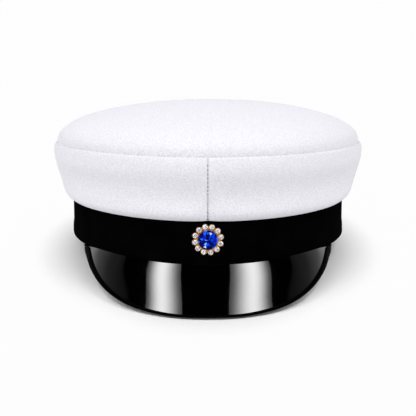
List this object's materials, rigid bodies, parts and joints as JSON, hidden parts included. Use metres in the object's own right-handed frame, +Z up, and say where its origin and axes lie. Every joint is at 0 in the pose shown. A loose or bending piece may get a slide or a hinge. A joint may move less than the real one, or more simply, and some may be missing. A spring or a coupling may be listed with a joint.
{
  "type": "student cap",
  "caption": "White cloth peaked cap with a domed top, black velvet band, glossy black leather peak with a bound edge, and a round jewelled rosette on the front of the band.",
  "frame": {"origin": "on the surface that the cap rests on, under the middle of its bounding box", "axes": "+Z up, -Y the way the cap faces, X across the cap with +X on the viewer's right from the front"},
  "size_m": [0.193, 0.2464, 0.0974],
  "materials": {
    "white_cloth": "matte felted wool",
    "black_velvet": "deep matte velvet",
    "black_patent": "high gloss patent",
    "gold_metal": "polished gold colour",
    "blue_glass": "faceted, clear deep blue",
    "clear_glass": "faceted, clear"
  },
  "bodies": {
    "root": {"crown_top": "white_cloth", "crown_side_left": "white_cloth", "crown_side_right": "white_cloth", "velvet_band": "black_velvet", "peak": "black_patent", "peak_binding": "black_patent", "rosette_setting": "gold_metal", "rosette_centre_stone": "blue_glass", "rosette_stone_01": "clear_glass", "rosette_stone_02": "clear_glass", "rosette_stone_03": "clear_glass", "rosette_stone_04": "clear_glass", "rosette_stone_05": "clear_glass", "rosette_stone_06": "clear_glass", "rosette_stone_07": "clear_glass", "rosette_stone_08": "clear_glass", "rosette_stone_09": "clear_glass", "rosette_stone_10": "clear_glass", "rosette_stone_11": "clear_glass", "rosette_stone_12": "clear_glass", "rosette_clutch": "gold_metal"}
  },
  "joints": []
}
